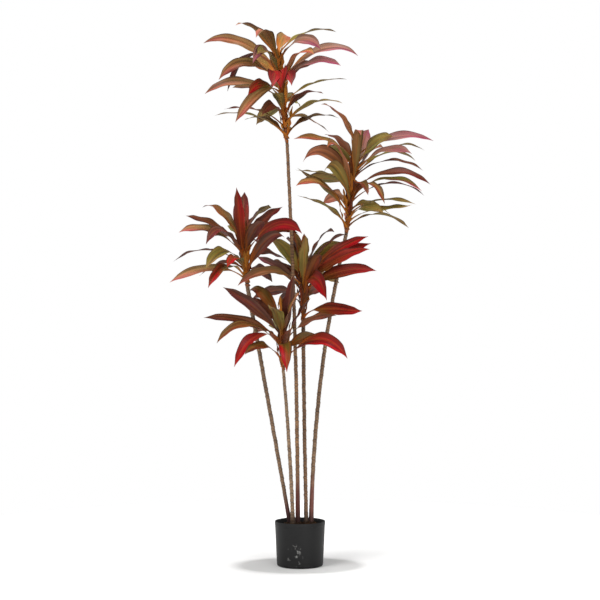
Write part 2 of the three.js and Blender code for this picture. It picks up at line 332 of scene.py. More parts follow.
fibre_mesh = bpy.data.meshes.new("coir_fibres")
fibre_mesh.from_pydata(fibre_verts, [], fibre_faces)
fibre_mesh.polygons.foreach_set("material_index", fibre_tints)
fibres = add_piece("coir_fibres", fibre_mesh, [
    coir("Coir fibre, dark", "#1f130b", "#382416"),
    coir("Coir fibre, brown", "#2c1b0f", "#452c1a"),
    coir("Coir fibre, pale", "#42301e", "#5c442c"),
])
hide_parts("potting_fill")


# Stems
# Wire rods in moulded plastic that copies a ringed trunk: a raised band over each leaf scar, a dark groove
# between. The foot of most stems is bare of rings and stained red. Where a stem goes down into the pot to
# the fill that holds it, its colour is darkened with painted shade.
STEM_SIDES = 20
RING_MM = 10
RING_RELIEF = 0.07
KNOT_RINGS = 3
KNOT_RELIEF = 2.2
KINK = 0.6 * MM
FLARE = 0.24
FLARE_SHARE = 0.12
STEM_GAP = 0.3 * MM
# Painted shade: how far above the fill the stems' colour is darkened, down inside the pot
POT_SHADE_DEPTH = 50 * MM
CURVE_DIVISIONS = 200
# A ring from scar to scar: share of its length, how far it stands out there, how dark its paint is
RING_PROFILE = [(0.25, 0.2, 0.4), (0.55, 0.6, 0), (0.82, 1.0, 0), (0.93, 0.3, 0.2), (1.0, -1.0, 1)]
# Height of the smooth foot, its colour, and the dark and light colours of the rings above it
STEM_LOOKS = {
    "tall": (0.285, "#552417", "#5a3d27", "#8b6746"),
    "right": (0.290, "#6a3c32", "#57402e", "#886b50"),
    "left": (0.235, "#47211f", "#4e3b2b", "#80644a"),
    "centre": (0.160, "#3f3122", "#503927", "#805e41"),
    "front": (0.150, "#5a3a2c", "#594433", "#8a7056"),
}


def bezier(controls, t):
    """Points of a Bezier curve of any degree."""
    points = [np.outer(np.ones(len(t)), control) for control in controls]
    while len(points) > 1:
        points = [a + (b - a) * t[:, None] for a, b in zip(points, points[1:])]
    return points[0]


def along(controls, shares):
    """Points of a Bezier curve at shares of its length."""
    t = np.linspace(0, 1, CURVE_DIVISIONS + 1)
    steps = np.linalg.norm(np.diff(bezier(controls, t), axis=0), axis=1)
    lengths = np.concatenate([[0], np.cumsum(steps)])
    return bezier(controls, np.interp(np.asarray(shares) * lengths[-1], lengths, t))


def ringed_rod(controls, radius_at, ring_mm, relief_at, seed):
    """A rod of level rings along a curve, grooved at every scar. The grooves are marked for its material."""
    draw = np.random.default_rng(seed)
    length = np.linalg.norm(np.subtract(controls[-1], controls[0]))
    shares, reliefs, grooves, kinks = [0.0], [0.0], [0.0], [0.0]
    place = 0.0
    count = 0
    while place < length - ring_mm * MM:
        pitch = ring_mm * MM * draw.uniform(0.85, 1.15)
        knot = KNOT_RELIEF if count % KNOT_RINGS == 0 else 1
        kink = KINK * draw.uniform(-1, 1)
        for part, relief, dark in RING_PROFILE:
            shares.append((place + pitch * part) / length)
            reliefs.append(relief * knot if relief > 0 else relief)
            grooves.append(dark * min(1, 0.45 * knot))
            kinks.append(kink)
        place += pitch
        count += 1
    for values, last in ((shares, 1.0), (reliefs, 0.0), (grooves, 0.0), (kinks, 0.0)):
        values.append(last)
    middles = along(controls, np.minimum(shares, 1))
    bm = bmesh.new()
    groove = bm.verts.layers.float.new("groove")
    ring = bmesh.ops.create_circle(bm, cap_ends=True, segments=STEM_SIDES, radius=1)["verts"]
    edges = list(bm.edges)
    for i, (share, relief, dark, kink, middle) in enumerate(zip(shares, reliefs, grooves, kinks, middles)):
        if i:
            grown = bmesh.ops.extrude_edge_only(bm, edges=edges)["geom"]
            ring = [item for item in grown if isinstance(item, bmesh.types.BMVert)]
            edges = [item for item in grown if isinstance(item, bmesh.types.BMEdge)]
        strength = relief_at(share)
        wobble = draw.uniform(-0.3, 0.3)
        for k, vert in enumerate(ring):
            turn = math.tau * k / STEM_SIDES
            radius = radius_at(share) * (1 + RING_RELIEF * strength * (relief + wobble * math.sin(turn)))
            shift = kink * min(1, strength)
            x, y = radius * math.cos(turn) + shift, radius * math.sin(turn) + shift
            vert.co = middle + np.array([x, y, 0])
            vert[groove] = dark * strength
    bmesh.ops.contextual_create(bm, geom=edges)
    bmesh.ops.recalc_face_normals(bm, faces=bm.faces)
    return bm


def ringed_plastic(name, foot_top, foot_colour, dark, light):
    """Moulded PVC painted as a cane: mottled brown bands, dark grooves, a stained foot, painted shade at the
    fill.
    """
    material, tree, shader = new_material(name)
    place = add(tree, "ShaderNodeTexCoord").outputs["Object"]
    groove = add(tree, "ShaderNodeAttribute", attribute_name="groove").outputs["Fac"]
    mottle_mm, streak_mm = 26, 2.2
    mottle = add(tree, "ShaderNodeTexNoise", {"Vector": place, "Scale": 1000 / mottle_mm, "Detail": 5,
                                              "Roughness": 0.65})
    stretched = add(tree, "ShaderNodeMapping", {"Vector": place, "Scale": (1, 1, 0.15)})
    streaks = add(tree, "ShaderNodeTexNoise", {"Vector": stretched.outputs["Vector"],
                                               "Scale": 1000 / streak_mm, "Detail": 2})
    bands = add(tree, "ShaderNodeValToRGB", {"Fac": mottle.outputs["Fac"]},
                stops=[(0.32, dark), (0.66, light)])
    fibre = add(tree, "ShaderNodeMapRange", {"Value": streaks.outputs["Fac"], "To Min": 0.72,
                                             "To Max": 1.2})
    grained = add(tree, "ShaderNodeMixRGB", {"Fac": 1.0, "Color1": bands.outputs["Color"],
                                             "Color2": fibre.outputs["Result"]}, blend_type="MULTIPLY")
    grooved = add(tree, "ShaderNodeMixRGB", {"Fac": groove, "Color1": grained.outputs["Color"],
                                             "Color2": linear("#2a1d13")})
    height = add(tree, "ShaderNodeSeparateXYZ", {"Vector": place}).outputs["Z"]
    ragged = add(tree, "ShaderNodeMath", {0: mottle.outputs["Fac"], 1: 0.06, 2: height},
                 operation="MULTIPLY_ADD")
    stained = add(tree, "ShaderNodeMapRange", {"Value": ragged.outputs[0], "From Min": foot_top + 0.05,
                                               "From Max": foot_top - 0.02})
    foot = add(tree, "ShaderNodeMixRGB", {"Fac": 1.0, "Color1": linear(foot_colour),
                                          "Color2": fibre.outputs["Result"]}, blend_type="MULTIPLY")
    colour = add(tree, "ShaderNodeMixRGB", {"Fac": stained.outputs["Result"],
                                            "Color1": grooved.outputs["Color"],
                                            "Color2": foot.outputs["Color"]})
    # Painted shade of the pot: the colour darkens to 0.15 at the fill and is full again this far above it
    pot_shade_factor = add(tree, "ShaderNodeMapRange", {"Value": height, "From Min": FILL_TOP,
                                             "From Max": FILL_TOP + POT_SHADE_DEPTH, "To Min": 0.15})
    shaded_in_pot = add(tree, "ShaderNodeMixRGB", {"Fac": 1.0, "Color1": colour.outputs["Color"],
                                            "Color2": pot_shade_factor.outputs["Result"]}, blend_type="MULTIPLY")
    bump = add(tree, "ShaderNodeBump", {"Height": streaks.outputs["Fac"], "Strength": 0.3,
                                        "Distance": 0.3 * MM})
    tree.links.new(shaded_in_pot.outputs["Color"], shader.inputs["Base Color"])
    tree.links.new(bump.outputs["Normal"], shader.inputs["Normal"])
    shader.inputs["Roughness"].default_value = 0.62
    shader.inputs["Specular IOR Level"].default_value = 0.35
    return material


for seed, (name, stem) in enumerate(STEMS.items()):
    foot_top, foot_colour, dark, light = STEM_LOOKS[name]
    start = np.array([stem["foot"][0] * MM, stem["foot"][1] * MM, FILL_TOP + STEM_GAP])
    end = np.array(stem["tip"]) * MM
    middle = (start + end) / 2 + np.array([stem["sway"] * MM, 0, 0])
    wide, narrow = (radius * MM for radius in stem["radii"])
    foot_share = (foot_top - start[2]) / (end[2] - start[2])

    def stem_radius(share):
        flare = 1 + FLARE * max(0, 1 - share / FLARE_SHARE)
        return flare * (wide + (narrow - wide) * share)

    def ring_strength(share):
        return float(np.clip((share - foot_share) / 0.04 + 0.5, 0.12, 1))

    rod = ringed_rod([start, middle, end], stem_radius, RING_MM, ring_strength, seed)
    paint = ringed_plastic(f"Painted PVC cane, {name}", foot_top, foot_colour, dark, light)
    piece = bmesh_piece(f"cane_{name}", rod, [paint])
    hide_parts(f"stem_{name}")


# Crown stems
# Each cane goes on inside its crown as a thinner rod, wrapped in the rust-brown sheaths that the leaf stalks
# leave behind. It ends in a blunt bud between the topmost leaves.
BUD_RADIUS = 5 * MM
SHEATH_MM = 11
for seed, (name, stem) in enumerate(STEMS.items()):
    start = np.array(stem["tip"]) * MM + np.array([0, 0, STEM_GAP])
    end = np.array(stem["tip"]) * MM + np.array(stem["run"]) * MM
    narrow = stem["radii"][1] * MM

    def sheath_radius(share):
        return (narrow + (BUD_RADIUS - narrow) * share) * (1 if share < 1 else 0.4)

    rod = ringed_rod([start, end], sheath_radius, SHEATH_MM, lambda share: 1.6, 100 + seed)
    sheaths = ringed_plastic(f"Painted PVC sheath, {stem['crown']}", 0.0, "#6a351b", "#63321a", "#96592c")
    piece = bmesh_piece(f"crown_stem_{stem['crown']}", rod, [sheaths])
    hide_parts(f"crown_{stem['crown']}")


# Leaves, how one is made
# Each leaf is cut from printed polyester and glued to a wire: a narrow gutter of a stalk that clasps the
# crown stem, then a long blade folded along its rib, with wavy margins and a drawn-out tip.
LEAF_REACH = 270 * MM
STALK_SHARE = 0.2
STALK_HALF_WIDTH = 5 * MM
CLASP_HALF_WIDTH = 9 * MM
BLADE_HALF_WIDTH = 20 * MM
BLADE_FULLNESS = 4.65
BLADE_TAPER = 0.3
STALK_CLIMB = 0.26
STALK_LEAN = 0.14
SHOULDER = 0.68
TWIST_START, TWIST_END = 0.05, 0.45
FOLD = 0.22
CLASP_SHARE = 0.14
CLASP_FOLD = 0.7
CLASP_FOLD_SHARE = 0.3
TIP_SHARE = 0.13
TIP_WIDTH = 0.02
TIP_THICKNESS = 0.1
STALK_THICKNESS = 3 * MM
BLADE_THICKNESS = 0.7 * MM
WIDTH_PLAY = (0.86, 1.06)
WAVE_HEIGHT = 3.2 * MM
WAVES = (2.2, 3.8)
LEAF_STEPS = 36
LEAF_COLUMNS = 8
UP = np.array([0.0, 0.0, 1.0])


def chance(seed):
    """A repeatable number from 0 to 1."""
    wave = math.sin(seed * 12.9898) * 43758.5453
    return wave - math.floor(wave)


def between(limits, share):
    return limits[0] + (limits[1] - limits[0]) * share


def smooth_step(value, low, high):
    share = np.clip((value - low) / (high - low), 0, 1)
    return share * share * (3 - 2 * share)


def unit(vectors):
    return vectors / np.linalg.norm(vectors, axis=-1, keepdims=True)


def leaf_midline(stem, traits, reach):
    """Control points of a leaf: up along the crown stem, over a shoulder, and out to the tip."""
    at, turn, rise, lift, _ = traits
    run = np.array(stem["run"]) * MM
    root = np.array(stem["tip"]) * MM + run * at / 100
    turn, rise = math.radians(turn), math.radians(rise)
    heading = np.array([math.cos(turn), math.sin(turn), 0])
    span = heading * math.cos(rise) + UP * math.sin(rise)
    climb = root + unit(run) * STALK_CLIMB * reach + heading * STALK_LEAN * reach
    shoulder = root + span * SHOULDER * reach + UP * lift / 100 * reach
    return heading, [root, climb, shoulder, root + span * reach]


def leaf_sheet(stem, traits, seed, reach, blade_half_width):
    """The two faces of a leaf, as grids of points from stalk to tip and from margin to margin."""
    heading, controls = leaf_midline(stem, traits, reach)
    share = np.linspace(0, 1, LEAF_STEPS + 1)
    line = along(controls, share)
    tangent = unit(np.gradient(line, axis=0))
    side = np.cross(heading, UP)
    width = unit(side - (tangent @ side)[:, None] * tangent)
    upper = np.cross(width, tangent)
    hand = -1 if side[1] < 0 else 1
    twist = (math.radians(hand * traits[4]) * smooth_step(share, TWIST_START, TWIST_END))[:, None]
    rolled_width = width * np.cos(twist) + upper * np.sin(twist)
    rolled_upper = upper * np.cos(twist) - width * np.sin(twist)

    u = np.clip((share - STALK_SHARE) / (1 - STALK_SHARE), 0, 1)
    bulge = BLADE_FULLNESS * u * (1 - u) * (1 - BLADE_TAPER * u)
    to_tip = (1 - share) / TIP_SHARE
    stalk = between((CLASP_HALF_WIDTH, STALK_HALF_WIDTH), smooth_step(share, 0, CLASP_SHARE))
    blade = blade_half_width * between(WIDTH_PLAY, chance(seed))
    half_width = (stalk + (blade - STALK_HALF_WIDTH) * bulge) * np.clip(to_tip, TIP_WIDTH, 1) ** 0.8
    fold = FOLD * bulge + CLASP_FOLD * (1 - smooth_step(share, 0, CLASP_FOLD_SHARE))
    thickness = between((STALK_THICKNESS, BLADE_THICKNESS), np.minimum(1, 2 * bulge))
    thickness = thickness * np.clip(to_tip, TIP_THICKNESS, 1)

    across = np.linspace(-1, 1, LEAF_COLUMNS + 1)
    waves = between(WAVES, chance(seed + 1))
    phase = np.where(across < 0, chance(seed + 2), chance(seed + 3)) * math.tau
    ripple = np.sin(math.tau * waves * share[:, None] + phase[None, :]) * across[None, :] ** 2
    raised = np.abs(across)[None, :] * (half_width * fold)[:, None] + WAVE_HEIGHT * bulge[:, None] * ripple
    aside = across[None, :] * half_width[:, None]
    sheet = (line[:, None, :] + rolled_width[:, None, :] * aside[..., None]
             + rolled_upper[:, None, :] * raised[..., None])
    normal = unit(np.cross(np.gradient(sheet, axis=1), np.gradient(sheet, axis=0)))
    half = (thickness[:, None] / 2 * (1 - across[None, :] ** 4))[..., None]
    return sheet + normal * half, sheet - normal * half


def leaf_pattern():
    """Corners of a leaf's faces as (step, column, face): upper side, underside, and the two cut ends."""
    faces = []
    for i in range(LEAF_STEPS):
        for j in range(LEAF_COLUMNS):
            loop = [(i, j), (i, j + 1), (i + 1, j + 1), (i + 1, j)]
            faces.append([(*corner, 0) for corner in loop])
            faces.append([(*corner, 1) for corner in reversed(loop)])
    for i, order in ((0, 1), (LEAF_STEPS, -1)):
        for j in range(LEAF_COLUMNS):
            faces.append([(i, j, 0), (i, j, 1), (i, j + 1, 1), (i, j + 1, 0)][::order])
    return faces


# Leaf prints
# The polyester is printed from stalk to tip: rust on the stalk, olive, bronze or plum on the lower blade,
# red or pink further out, streaked with another tint, mostly on the far half. That second tint is partly
# print and partly painted shade of the fold along the rib. Prints are dealt out leaf by leaf, and some are
# on broader leaves. The backs are duller.
# Width of the streaks, and of the pressed veins, which are ten times finer on a real leaf and wouldn't show
STREAK_MM = 5
VEIN_MM = 9
# Share of the second tint on the far half, partly print and partly painted shade of the fold
FAR_TINT_AND_FOLD_SHADE_SHARE = 0.7
PRINT_ROUGHNESS = 0.46
BACK_ROUGHNESS = 0.6
LEAF_PRINTS = {
    # stalk, lower blade, middle, outer blade, tip, far half (print and painted shade of the fold)
    "bronze": ("#a05c28", "#7e5f36", "#986442", "#a8624a", "#9e4e4a", "#7a6a3e"),
    "tawny": ("#844c20", "#6a5030", "#805234", "#8a503a", "#82403a", "#66562e"),
    "pink": ("#8e5626", "#745a46", "#8c5c50", "#8e5254", "#803c4e", "#80604e"),
    "rose": ("#885026", "#665042", "#845450", "#924656", "#802e48", "#76524c"),
    "red": ("#824014", "#6a4018", "#782a14", "#881a17", "#860f12", "#5e2012"),
    "scarlet": ("#824014", "#743418", "#861c17", "#8e0f14", "#8a0a10", "#60150f"),
    "crimson": ("#824014", "#702a18", "#801719", "#881117", "#760e13", "#581812"),
    "garnet": ("#84421a", "#723820", "#722e28", "#822426", "#5c2222", "#684c42"),
    "ember": ("#834c16", "#665c20", "#6c5422", "#940f14", "#8e0b11", "#6c3a1c"),
    "olive": ("#96581e", "#78672e", "#7e7534", "#88783c", "#7e603a", "#847038"),
    "green": ("#98581e", "#7b6828", "#6e742a", "#68702c", "#6e5c32", "#7a6a2a"),
    "wine": ("#7a3e12", "#5a3018", "#5c2c1a", "#5e281c", "#4a2018", "#5e3c26"),
    "plum": ("#84421a", "#5e301a", "#622a1c", "#6c221e", "#581a18", "#5e3c2c"),
    "brown": ("#7d4214", "#663c16", "#78421c", "#76381e", "#60281a", "#624e24"),
    "blush": ("#98581e", "#746428", "#746a2e", "#a05046", "#a83e4c", "#706a2e"),
    "orange": ("#a05c22", "#8c6634", "#a4623a", "#ac5e42", "#a04e40", "#826a38"),
    # A lighter rust, painted light for the lit core of the top crown
    "lit_rust": ("#b0621c", "#b46a24", "#b6742e", "#a47032", "#865a2c", "#a0702e"),
    "rust": ("#a25212", "#a65818", "#a86220", "#985e22", "#7c4c1e", "#946420"),
    "bark": ("#7e4a1c", "#644426", "#5e3a2a", "#66452f", "#625034", "#5e4c2c"),
    "umber": ("#783408", "#74280c", "#782e10", "#7c3c16", "#6a3c1a", "#643212"),
}
LEAF_BACKS = {
    "moss": ("#96581e", "#726130", "#776a34", "#7c6638", "#6a502e", "#725b2e"),
    "tan": ("#96581e", "#72522e", "#7e5836", "#82583c", "#6c4634", "#6a5a30"),
    "cocoa": ("#7d4010", "#623014", "#662e18", "#6c2c1a", "#502216", "#5e3a1c"),
    "rosy": ("#9a5a20", "#94643c", "#b06e4a", "#ae664e", "#924e40", "#98684a"),
    "cherry": ("#844012", "#6a2e14", "#782016", "#7c1618", "#601212", "#66301e"),
    "mauve": ("#7d4016", "#563022", "#522a22", "#5c2824", "#481e1a", "#563c30"),
    "rust": ("#a05212", "#a65a1a", "#a86422", "#985f22", "#7c4c1e", "#946420"),
}
BACK_OF = {"bronze": "tan", "tawny": "tan", "pink": "rosy", "rose": "rosy", "red": "cherry",
           "scarlet": "cherry", "crimson": "cherry", "garnet": "cherry", "ember": "moss", "olive": "moss",
           "green": "moss", "wine": "mauve", "plum": "mauve", "brown": "cocoa", "blush": "moss",
           "orange": "rosy", "lit_rust": "rust", "rust": "rust", "bark": "moss", "umber": "cocoa"}
BROADER = {"scarlet": 1.3, "crimson": 1.25, "red": 1.15, "olive": 1.15, "orange": 1.15, "pink": 1.12,
           "blush": 1.12}


def printed_polyester(name, tints, roughness):
    """Printed polyester: tints run along the blade in streaks, over pressed veins, to dark margins."""
    material, tree, shader = new_material(name)
    blade_mm = 2 * BLADE_HALF_WIDTH / MM
    leaf = add(tree, "ShaderNodeUVMap", uv_map="Leaf").outputs["UV"]
    split = add(tree, "ShaderNodeSeparateXYZ", {"Vector": leaf})
    u, v = split.outputs["X"], split.outputs["Y"]
    shift = add(tree, "ShaderNodeAttribute", attribute_name="tint_shift").outputs["Fac"]
    streaked = add(tree, "ShaderNodeMapping", {"Vector": leaf, "Scale": (blade_mm / STREAK_MM, 2.5, 1)})
    own = add(tree, "ShaderNodeMath", {0: shift, 1: 40.0}, operation="MULTIPLY")
    streak = add(tree, "ShaderNodeTexNoise", {"Vector": streaked.outputs["Vector"], "W": own.outputs[0],
                                              "Scale": 1.0, "Detail": 3},
                 noise_dimensions="4D").outputs["Fac"]
    centred = add(tree, "ShaderNodeMath", {0: u, 1: 0.5}, operation="SUBTRACT").outputs[0]
    tilt = add(tree, "ShaderNodeMath", {0: centred, 1: shift}, operation="MULTIPLY").outputs[0]
    ragged = add(tree, "ShaderNodeMath", {0: streak, 1: 0.5, 2: v}, operation="MULTIPLY_ADD").outputs[0]
    moved = add(tree, "ShaderNodeMath", {0: shift, 1: 0.08, 2: ragged}, operation="MULTIPLY_ADD").outputs[0]
    tilted = add(tree, "ShaderNodeMath", {0: tilt, 1: 0.5, 2: moved}, operation="MULTIPLY_ADD").outputs[0]
    run = add(tree, "ShaderNodeMath", {0: tilted, 1: 0.13}, operation="SUBTRACT").outputs[0]
    stalk, lower, middle, outer, tip, far = tints
    length = add(tree, "ShaderNodeValToRGB", {"Fac": run},
                 stops=[(0.28, stalk), (0.45, lower), (0.68, middle), (0.86, outer), (1.0, tip)])
    wander = add(tree, "ShaderNodeMath", {0: streak, 1: 2.2, 2: u}, operation="MULTIPLY_ADD").outputs[0]
    # The far half takes a second tint, partly print and partly painted shade of the fold along the rib
    half = add(tree, "ShaderNodeMapRange", {"Value": wander, "From Min": 1.5, "From Max": 1.74,
                                            "To Max": FAR_TINT_AND_FOLD_SHADE_SHARE})
    blade = add(tree, "ShaderNodeMapRange", {"Value": run, "From Min": 0.36, "From Max": 0.5})
    far_tint_and_fold_shade = add(tree, "ShaderNodeMath", {0: half.outputs["Result"], 1: blade.outputs["Result"]},
                 operation="MULTIPLY")
    ground = add(tree, "ShaderNodeMixRGB", {"Fac": far_tint_and_fold_shade.outputs[0], "Color1": length.outputs["Color"],
                                            "Color2": linear(far)})
    veined = add(tree, "ShaderNodeMapping", {"Vector": leaf, "Scale": (blade_mm / VEIN_MM, 1.2, 1)})
    vein = add(tree, "ShaderNodeTexNoise", {"Vector": veined.outputs["Vector"], "W": own.outputs[0],
                                            "Scale": 1.0, "Detail": 2},
               noise_dimensions="4D").outputs["Fac"]
    shade = add(tree, "ShaderNodeMapRange", {"Value": vein, "From Min": 0.34, "From Max": 0.66,
                                             "To Min": 0.54, "To Max": 1.42})
    lined = add(tree, "ShaderNodeMixRGB", {"Fac": 1.0, "Color1": ground.outputs["Color"],
                                           "Color2": shade.outputs["Result"]}, blend_type="MULTIPLY")
    off_rib = add(tree, "ShaderNodeMath", {0: centred}, operation="ABSOLUTE").outputs[0]
    rib = add(tree, "ShaderNodeMapRange", {"Value": off_rib, "From Min": 0.05, "From Max": 0.02,
                                           "To Max": 0.5})
    ribbed = add(tree, "ShaderNodeMixRGB", {"Fac": rib.outputs["Result"], "Color1": lined.outputs["Color"],
                                            "Color2": linear(stalk)})
    uneven = add(tree, "ShaderNodeMath", {0: centred, 1: 0.12, 2: off_rib}, operation="MULTIPLY_ADD")
    margin = add(tree, "ShaderNodeMapRange", {"Value": uneven.outputs[0], "From Min": 0.42,
                                              "From Max": 0.54, "To Max": 0.8})
    edged = add(tree, "ShaderNodeMixRGB", {"Fac": margin.outputs["Result"],
                                           "Color1": ribbed.outputs["Color"],
                                           "Color2": linear("#38201a")})
    gloss = add(tree, "ShaderNodeMapRange", {"Value": vein, "To Min": roughness - 0.08,
                                             "To Max": roughness + 0.1})
    bump = add(tree, "ShaderNodeBump", {"Height": vein, "Strength": 0.35, "Distance": 0.5 * MM})
    tree.links.new(edged.outputs["Color"], shader.inputs["Base Color"])
    tree.links.new(gloss.outputs["Result"], shader.inputs["Roughness"])
    tree.links.new(bump.outputs["Normal"], shader.inputs["Normal"])
    shader.inputs["Specular IOR Level"].default_value = 0.08
    return material


leaf_cloths = [printed_polyester(f"Printed polyester, {name}", tints, PRINT_ROUGHNESS)
               for name, tints in LEAF_PRINTS.items()]
leaf_cloths += [printed_polyester(f"Polyester back, {name}", tints, BACK_ROUGHNESS)
                for name, tints in LEAF_BACKS.items()]
print_slots = list(LEAF_PRINTS)
back_slots = list(LEAF_BACKS)


# Leaves, crown by crown
# The spreading leaves, glued one above another to the crown stem. Those that give a crown its outline are
# listed one by one, with their prints, and a seeded rule deals the ones behind, between the limits below.
# Five traits a leaf: height of the root up the crown stem (%), turn of the tip (0 right, 90 away, 180 left,
# -90 to the front), rise of the tip (deg), lift of the shoulder (% of the reach), roll to the front (deg).
BACK_ROOT = (8, 68)
BACK_TURN = (45, 135)
BACK_RISE = (0, 30)
BACK_RISE_PLAY = 8
BACK_LIFT = (12, 26)
BACK_ROLL = (25, 75)
GOLDEN_STEP = 0.618
# A leaf whose tip is farther than this from the solid crown was left out of it, to clear another limb
TIP_CLEAR = 3 * MM
CROWNS = {
    "top": {
        "back": 8, "seed": 71, "mix": ["bronze", "orange", "olive", "pink", "brown"],
        "leaves": [
            (88, -122, 20, 27, 5), (79, 180, 21, 31, 70), (62, -137, 0, 42, 60), (64, -106, 14, 30, 40),
            (43, -160, 5, 32, 50), (50, -126, -22, 26, 60), (39, -114, 2, 32, 50), (21, -105, 0, 22, 40),
            (14, 145, 19, 14, 0), (5, -151, 13, 18, 10), (52, -83, 0, 36, 5), (24, -97, 12, 16, 0),
            (94, 83, 25, 14, 30), (96, 38, 24, 20, 0), (86, -60, 4, 32, 50), (60, -66, 17, 31, 30),
            (67, -10, 18, 40, 45), (60, -44, 11, 26, 40), (40, 30, 24, 14, 0), (26, -62, 12, 18, 0),
            (16, -46, 13, 20, 8), (5, 46, 19, 18, 10), (73, -108, 2, 42, 40), (73, 133, -4, 70, 0),
            (50, -96, 0, 38, 10), (55, -90, -4, 40, 20), (88, -105, 10, 34, 3), (4, 125, 19, 16, 15),
        ],
        "tints": "bronze tawny tawny olive tawny bronze ember wine brown bark scarlet green orange "
                 "olive pink orange pink rose olive wine olive bark pink wine scarlet scarlet bronze bark",
    },
    "right": {
        "back": 8, "seed": 56, "mix": ["olive", "bronze", "pink", "orange", "green"],
        "leaves": [
            (88, -122, 30, 22, 25), (75, 101, 43, 14, -75), (74, -143, 15, 18, 35), (50, -130, 14, 47, -60),
            (30, -111, 20, 42, -50), (46, 138, 18, 4, 0), (16, -142, 36, 6, 0), (20, -134, 18, 29, 40),
            (3, -132, 23, 8, 10), (62, 73, 41, 14, 30), (66, -62, 21, 18, 85), (80, 0, 13, 23, 45),
            (62, -46, 12, 24, 40), (62, 16, 20, 30, 0), (56, -33, 5, 26, 10), (42, -12, 6, 33, 35),
            (36, -31, 4, 30, 18), (30, 16, 8, 32, 0), (28, -67, -1, 46, 0), (16, -35, 8, 15, 12),
            (8, -38, 13, 0, 25), (10, -66, 5, 14, 40), (3, 35, 3, 25, 0), (52, -85, 32, 46, 0),
            (60, 80, 30, 45, 20), (40, -112, 32, 46, 45), (58, 32, 16, 33, 0), (34, -80, 3, 24, 5),
            (70, 115, 30, 16, 0),
        ],
        "tints": "orange orange orange orange olive olive olive orange olive pink olive rose pink olive "
                 "wine plum blush wine brown olive olive olive olive bronze bronze orange olive brown wine",
    },
    "left": {
        "back": 9, "seed": 58, "mix": ["plum", "wine", "brown", "olive", "bronze"],
        "leaves": [
            (36, -100, 62, 6, 10), (36, 103, 54, 14, 30), (64, 127, 29, 26, 4), (54, -135, 23, 8, 45),
            (44, -141, 16, 25, 45), (38, -115, 10, 46, 30), (24, 156, 7, 28, 0), (22, -116, 1, 36, 30),
            (16, -101, 5, 22, 15), (6, -155, 0, 21, 45), (6, -115, -4, 35, 15), (50, 54, 37, 14, 20),
            (60, 67, 31, 18, -50), (40, -73, 25, 14, -30), (40, -43, 17, 40, 60), (14, -58, 27, 32, -50),
            (50, 91, 52, 14, 0),
        ],
        "tints": "garnet plum brown wine bronze plum wine olive ember bronze ember plum olive wine "
                 "crimson plum plum",
    },
    "centre": {
        "back": 9, "seed": 108, "mix": ["red", "brown", "plum", "wine", "olive"],
        "leaves": [
            (42, -142, 3, 32, 50), (34, 135, 31, 10, 20), (40, 116, 23, 14, -40), (50, 120, 35, 20, 30),
            (50, 100, 44, 10, 20), (40, -88, 42, 12, 30), (58, 60, 37, 31, -40), (54, 47, 37, 20, -40),
            (50, -9, 36, 14, 55), (46, 0, 33, 12, 55), (42, -21, 30, 16, 60), (34, -21, 18, 19, 75),
            (30, -75, 31, 22, -40), (38, -74, -5, 36, 60), (2, -45, 7, 2, 75),
        ],
        "tints": "bronze pink brown olive brown green wine wine scarlet scarlet red red brown scarlet red",
    },
    "front": {
        "back": 9, "seed": 92, "mix": ["brown", "plum", "red", "wine", "olive"],
        "leaves": [
            (50, -154, 39, 10, -55), (66, 121, 26, 36, 30), (40, -76, 58, 6, 15), (42, -177, 19, 14, 50),
            (30, -140, 7, 46, 30), (34, -124, -10, 44, 10), (6, -116, 10, 24, 40), (10, -87, -3, 48, 10),
            (44, -99, 25, 22, 20), (50, -76, 34, 14, 70), (30, -65, 40, 8, 60), (16, -83, 23, 16, 40),
            (8, -41, 6, 45, 50),
        ],
        "tints": "plum brown plum wine brown scarlet brown ember olive orange wine brown scarlet",
    },
}
BAKE_ROWS = 3
BAKE_MARGIN = (0.06, 0.008)


def back_leaves(count, seed):
    """The leaves behind, dealt evenly up the crown stem and round its back."""
    rows = []
    for k in range(count):
        share = (k + 0.5) / count
        turn = between(BACK_TURN, (k * GOLDEN_STEP + chance(seed)) % 1)
        rise = between(BACK_RISE, share) + BACK_RISE_PLAY * (2 * chance(seed + k) - 1)
        lift = between(BACK_LIFT, chance(seed + 2 * k))
        roll = between(BACK_ROLL, chance(seed + 3 * k))
        rows.append((between(BACK_ROOT, share), turn, rise, lift, roll if k % 2 else -roll))
    return rows


# Sheath leaves
# Short upright leaves and the bases of old ones, which wrap the crown stem between the spreading leaves.
# They are of the same cloth, printed rust and umber, and glued to the stem in a spiral. Those of the top
# crown are printed a lighter rust, which is painted light for its lit core.
SHEATHS = 18
SHEATH_REACH = (120, 80)
SHEATH_RISE = (76, 82)
SHEATH_HALF_WIDTH = 8 * MM
SHEATH_TOP = 85
# The top crown's sheaths are the lighter rust that paints on the light at its core
SHEATH_PRINTS = {"top": ["lit_rust"], "right": ["rust", "umber", "umber"], "left": ["umber", "rust", "umber"],
                 "centre": ["umber", "rust", "umber"], "front": ["umber", "rust", "umber"]}
GOLDEN_ANGLE = 137.5


def sheath_leaves(seed):
    """Upright leaves dealt up the crown stem at the golden angle, with the reach of each."""
    rows = []
    for k in range(SHEATHS):
        share = k / (SHEATHS - 1)
        turn = k * GOLDEN_ANGLE + 360 * chance(seed)
        reach = between(SHEATH_REACH, share) * (0.9 + 0.2 * chance(seed + k))
        rows.append(((SHEATH_TOP * share, turn, between(SHEATH_RISE, share), 3, 0), reach * MM))
    return rows


